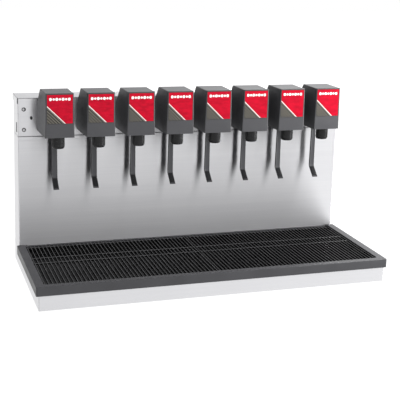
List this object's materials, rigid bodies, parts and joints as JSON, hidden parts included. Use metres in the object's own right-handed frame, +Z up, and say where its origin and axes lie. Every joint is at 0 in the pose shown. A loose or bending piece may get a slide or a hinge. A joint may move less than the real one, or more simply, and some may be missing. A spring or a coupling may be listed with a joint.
{
  "type": "soda dispenser",
  "caption": "Countertop beverage dispenser: lever valves with red label panels on a stainless splash-back tower, over a drip tray with lift-out bar grilles.",
  "frame": {"origin": "centre of the whole object's box, on the counter surface", "axes": "+X to the right seen from the front, +Y to the back, +Z up"},
  "size_m": [0.896, 0.399, 0.469],
  "materials": {
    "stainless": "brushed, grain along the width",
    "tray_charcoal": "fine moulded texture",
    "grille_black": "satin moulded bars",
    "cover_grey": "fine moulded texture",
    "label_red": "glossy printed label, red over charcoal with a white stripe",
    "black_plastic": "satin",
    "lever_charcoal": "satin moulded",
    "transformer_iron": "varnished core and wound coil"
  },
  "bodies": {
    "frame": {"base_pan": "stainless", "splash_panel": "stainless", "header_panel": "stainless", "top_cap": "stainless", "rear_cover": "stainless", "water_rail": "stainless", "transformer": "transformer_iron", "mounting_block_1": "black_plastic", "mounting_block_2": "black_plastic", "mounting_block_3": "black_plastic", "mounting_block_4": "black_plastic", "mounting_block_5": "black_plastic", "mounting_block_6": "black_plastic", "mounting_block_7": "black_plastic", "mounting_block_8": "black_plastic", "valve_body_1": "black_plastic", "valve_body_2": "black_plastic", "valve_body_3": "black_plastic", "valve_body_4": "black_plastic", "valve_body_5": "black_plastic", "valve_body_6": "black_plastic", "valve_body_7": "black_plastic", "valve_body_8": "black_plastic"},
    "tray": {"drip_tray": "tray_charcoal", "drain_spout": "black_plastic"},
    "grille_left": {"grille_left": "grille_black"},
    "grille_right": {"grille_right": "grille_black"},
    "cover_1": {"valve_cover_1": "cover_grey", "id_panel_1": "label_red"},
    "nozzle_1": {"nozzle_1": "black_plastic"},
    "lever_1": {"lever_1": "lever_charcoal"},
    "cover_2": {"valve_cover_2": "cover_grey", "id_panel_2": "label_red"},
    "nozzle_2": {"nozzle_2": "black_plastic"},
    "lever_2": {"lever_2": "lever_charcoal"},
    "cover_3": {"valve_cover_3": "cover_grey", "id_panel_3": "label_red"},
    "nozzle_3": {"nozzle_3": "black_plastic"},
    "lever_3": {"lever_3": "lever_charcoal"},
    "cover_4": {"valve_cover_4": "cover_grey", "id_panel_4": "label_red"},
    "nozzle_4": {"nozzle_4": "black_plastic"},
    "lever_4": {"lever_4": "lever_charcoal"},
    "cover_5": {"valve_cover_5": "cover_grey", "id_panel_5": "label_red"},
    "nozzle_5": {"nozzle_5": "black_plastic"},
    "lever_5": {"lever_5": "lever_charcoal"},
    "cover_6": {"valve_cover_6": "cover_grey", "id_panel_6": "label_red"},
    "nozzle_6": {"nozzle_6": "black_plastic"},
    "lever_6": {"lever_6": "lever_charcoal"},
    "cover_7": {"valve_cover_7": "cover_grey", "id_panel_7": "label_red"},
    "nozzle_7": {"nozzle_7": "black_plastic"},
    "lever_7": {"lever_7": "lever_charcoal"},
    "cover_8": {"valve_cover_8": "cover_grey", "id_panel_8": "label_red"},
    "nozzle_8": {"nozzle_8": "black_plastic"},
    "lever_8": {"lever_8": "lever_charcoal"}
  },
  "joints": [
    {"name": "tray_lift", "type": "slide", "parent": "frame", "child": "tray", "axis": [0, 0, 1], "range_m": [0, 0.06]},
    {"name": "grille_left_lift", "type": "slide", "parent": "tray", "child": "grille_left", "axis": [0, 0, 1], "range_m": [0, 0.06]},
    {"name": "grille_right_lift", "type": "slide", "parent": "tray", "child": "grille_right", "axis": [0, 0, 1], "range_m": [0, 0.06]},
    {"name": "cover_1_lift", "type": "slide", "parent": "frame", "child": "cover_1", "axis": [0, 0, 1], "range_m": [0, 0.08]},
    {"name": "nozzle_1_twist", "type": "hinge", "parent": "frame", "child": "nozzle_1", "pos_m": [-0.3556, 0.0355, 0.345], "axis": [0, 0, 1], "range_deg": [0, 45]},
    {"name": "lever_1_push", "type": "hinge", "parent": "frame", "child": "lever_1", "pos_m": [-0.3556, 0.0875, 0.372], "axis": [1, 0, 0], "range_deg": [0, 8], "stiffness_Nm_per_rad": 1, "springref_deg": -6.88},
    {"name": "cover_2_lift", "type": "slide", "parent": "frame", "child": "cover_2", "axis": [0, 0, 1], "range_m": [0, 0.08]},
    {"name": "nozzle_2_twist", "type": "hinge", "parent": "frame", "child": "nozzle_2", "pos_m": [-0.254, 0.0355, 0.345], "axis": [0, 0, 1], "range_deg": [0, 45]},
    {"name": "lever_2_push", "type": "hinge", "parent": "frame", "child": "lever_2", "pos_m": [-0.254, 0.0875, 0.372], "axis": [1, 0, 0], "range_deg": [0, 8], "stiffness_Nm_per_rad": 1, "springref_deg": -6.88},
    {"name": "cover_3_lift", "type": "slide", "parent": "frame", "child": "cover_3", "axis": [0, 0, 1], "range_m": [0, 0.08]},
    {"name": "nozzle_3_twist", "type": "hinge", "parent": "frame", "child": "nozzle_3", "pos_m": [-0.1524, 0.0355, 0.345], "axis": [0, 0, 1], "range_deg": [0, 45]},
    {"name": "lever_3_push", "type": "hinge", "parent": "frame", "child": "lever_3", "pos_m": [-0.1524, 0.0875, 0.372], "axis": [1, 0, 0], "range_deg": [0, 8], "stiffness_Nm_per_rad": 1, "springref_deg": -6.88},
    {"name": "cover_4_lift", "type": "slide", "parent": "frame", "child": "cover_4", "axis": [0, 0, 1], "range_m": [0, 0.08]},
    {"name": "nozzle_4_twist", "type": "hinge", "parent": "frame", "child": "nozzle_4", "pos_m": [-0.0508, 0.0355, 0.345], "axis": [0, 0, 1], "range_deg": [0, 45]},
    {"name": "lever_4_push", "type": "hinge", "parent": "frame", "child": "lever_4", "pos_m": [-0.0508, 0.0875, 0.372], "axis": [1, 0, 0], "range_deg": [0, 8], "stiffness_Nm_per_rad": 1, "springref_deg": -6.88},
    {"name": "cover_5_lift", "type": "slide", "parent": "frame", "child": "cover_5", "axis": [0, 0, 1], "range_m": [0, 0.08]},
    {"name": "nozzle_5_twist", "type": "hinge", "parent": "frame", "child": "nozzle_5", "pos_m": [0.0508, 0.0355, 0.345], "axis": [0, 0, 1], "range_deg": [0, 45]},
    {"name": "lever_5_push", "type": "hinge", "parent": "frame", "child": "lever_5", "pos_m": [0.0508, 0.0875, 0.372], "axis": [1, 0, 0], "range_deg": [0, 8], "stiffness_Nm_per_rad": 1, "springref_deg": -6.88},
    {"name": "cover_6_lift", "type": "slide", "parent": "frame", "child": "cover_6", "axis": [0, 0, 1], "range_m": [0, 0.08]},
    {"name": "nozzle_6_twist", "type": "hinge", "parent": "frame", "child": "nozzle_6", "pos_m": [0.1524, 0.0355, 0.345], "axis": [0, 0, 1], "range_deg": [0, 45]},
    {"name": "lever_6_push", "type": "hinge", "parent": "frame", "child": "lever_6", "pos_m": [0.1524, 0.0875, 0.372], "axis": [1, 0, 0], "range_deg": [0, 8], "stiffness_Nm_per_rad": 1, "springref_deg": -6.88},
    {"name": "cover_7_lift", "type": "slide", "parent": "frame", "child": "cover_7", "axis": [0, 0, 1], "range_m": [0, 0.08]},
    {"name": "nozzle_7_twist", "type": "hinge", "parent": "frame", "child": "nozzle_7", "pos_m": [0.254, 0.0355, 0.345], "axis": [0, 0, 1], "range_deg": [0, 45]},
    {"name": "lever_7_push", "type": "hinge", "parent": "frame", "child": "lever_7", "pos_m": [0.254, 0.0875, 0.372], "axis": [1, 0, 0], "range_deg": [0, 8], "stiffness_Nm_per_rad": 1, "springref_deg": -6.88},
    {"name": "cover_8_lift", "type": "slide", "parent": "frame", "child": "cover_8", "axis": [0, 0, 1], "range_m": [0, 0.08]},
    {"name": "nozzle_8_twist", "type": "hinge", "parent": "frame", "child": "nozzle_8", "pos_m": [0.3556, 0.0355, 0.345], "axis": [0, 0, 1], "range_deg": [0, 45]},
    {"name": "lever_8_push", "type": "hinge", "parent": "frame", "child": "lever_8", "pos_m": [0.3556, 0.0875, 0.372], "axis": [1, 0, 0], "range_deg": [0, 8], "stiffness_Nm_per_rad": 1, "springref_deg": -6.88}
  ]
}
